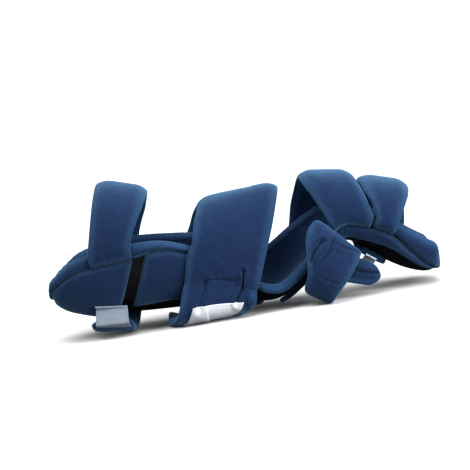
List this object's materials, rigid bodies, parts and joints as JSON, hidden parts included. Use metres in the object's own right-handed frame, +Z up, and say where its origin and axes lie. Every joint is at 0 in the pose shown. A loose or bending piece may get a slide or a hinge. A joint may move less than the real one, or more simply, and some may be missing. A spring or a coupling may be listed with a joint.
{
  "type": "padded resting hand splint",
  "caption": "Padded trough-shaped splint that holds a left forearm, palm and fingers, with straps over the arm and hand and a padded wrap round the thumb.",
  "frame": {"origin": "on the flat underside of the wrist strap, where the splint rests on a surface", "axes": "+X along the forearm towards the fingertips, +Y away from the thumb, +Z up from the surface it rests on"},
  "size_m": [0.3514, 0.1183, 0.1373],
  "materials": {
    "cloth": "brushed navy loop cloth over foam",
    "shell": "matt black",
    "hook": "pale grey hook tape",
    "label": "bare white woven label"
  },
  "bodies": {
    "root": {"base_shell": "shell", "liner": "cloth", "arm_panel_rear": "cloth", "arm_panel_near": "cloth", "arm_panel_far": "cloth", "hand_panel_near": "cloth", "hand_panel_far": "cloth", "proximal_strap": "cloth", "proximal_tab": "hook", "wrist_strap": "cloth", "label": "label", "knuckle_strap": "cloth", "finger_strap": "cloth", "finger_tab": "hook", "thumb_wrap": "cloth", "thumb_cradle": "cloth"}
  },
  "joints": []
}
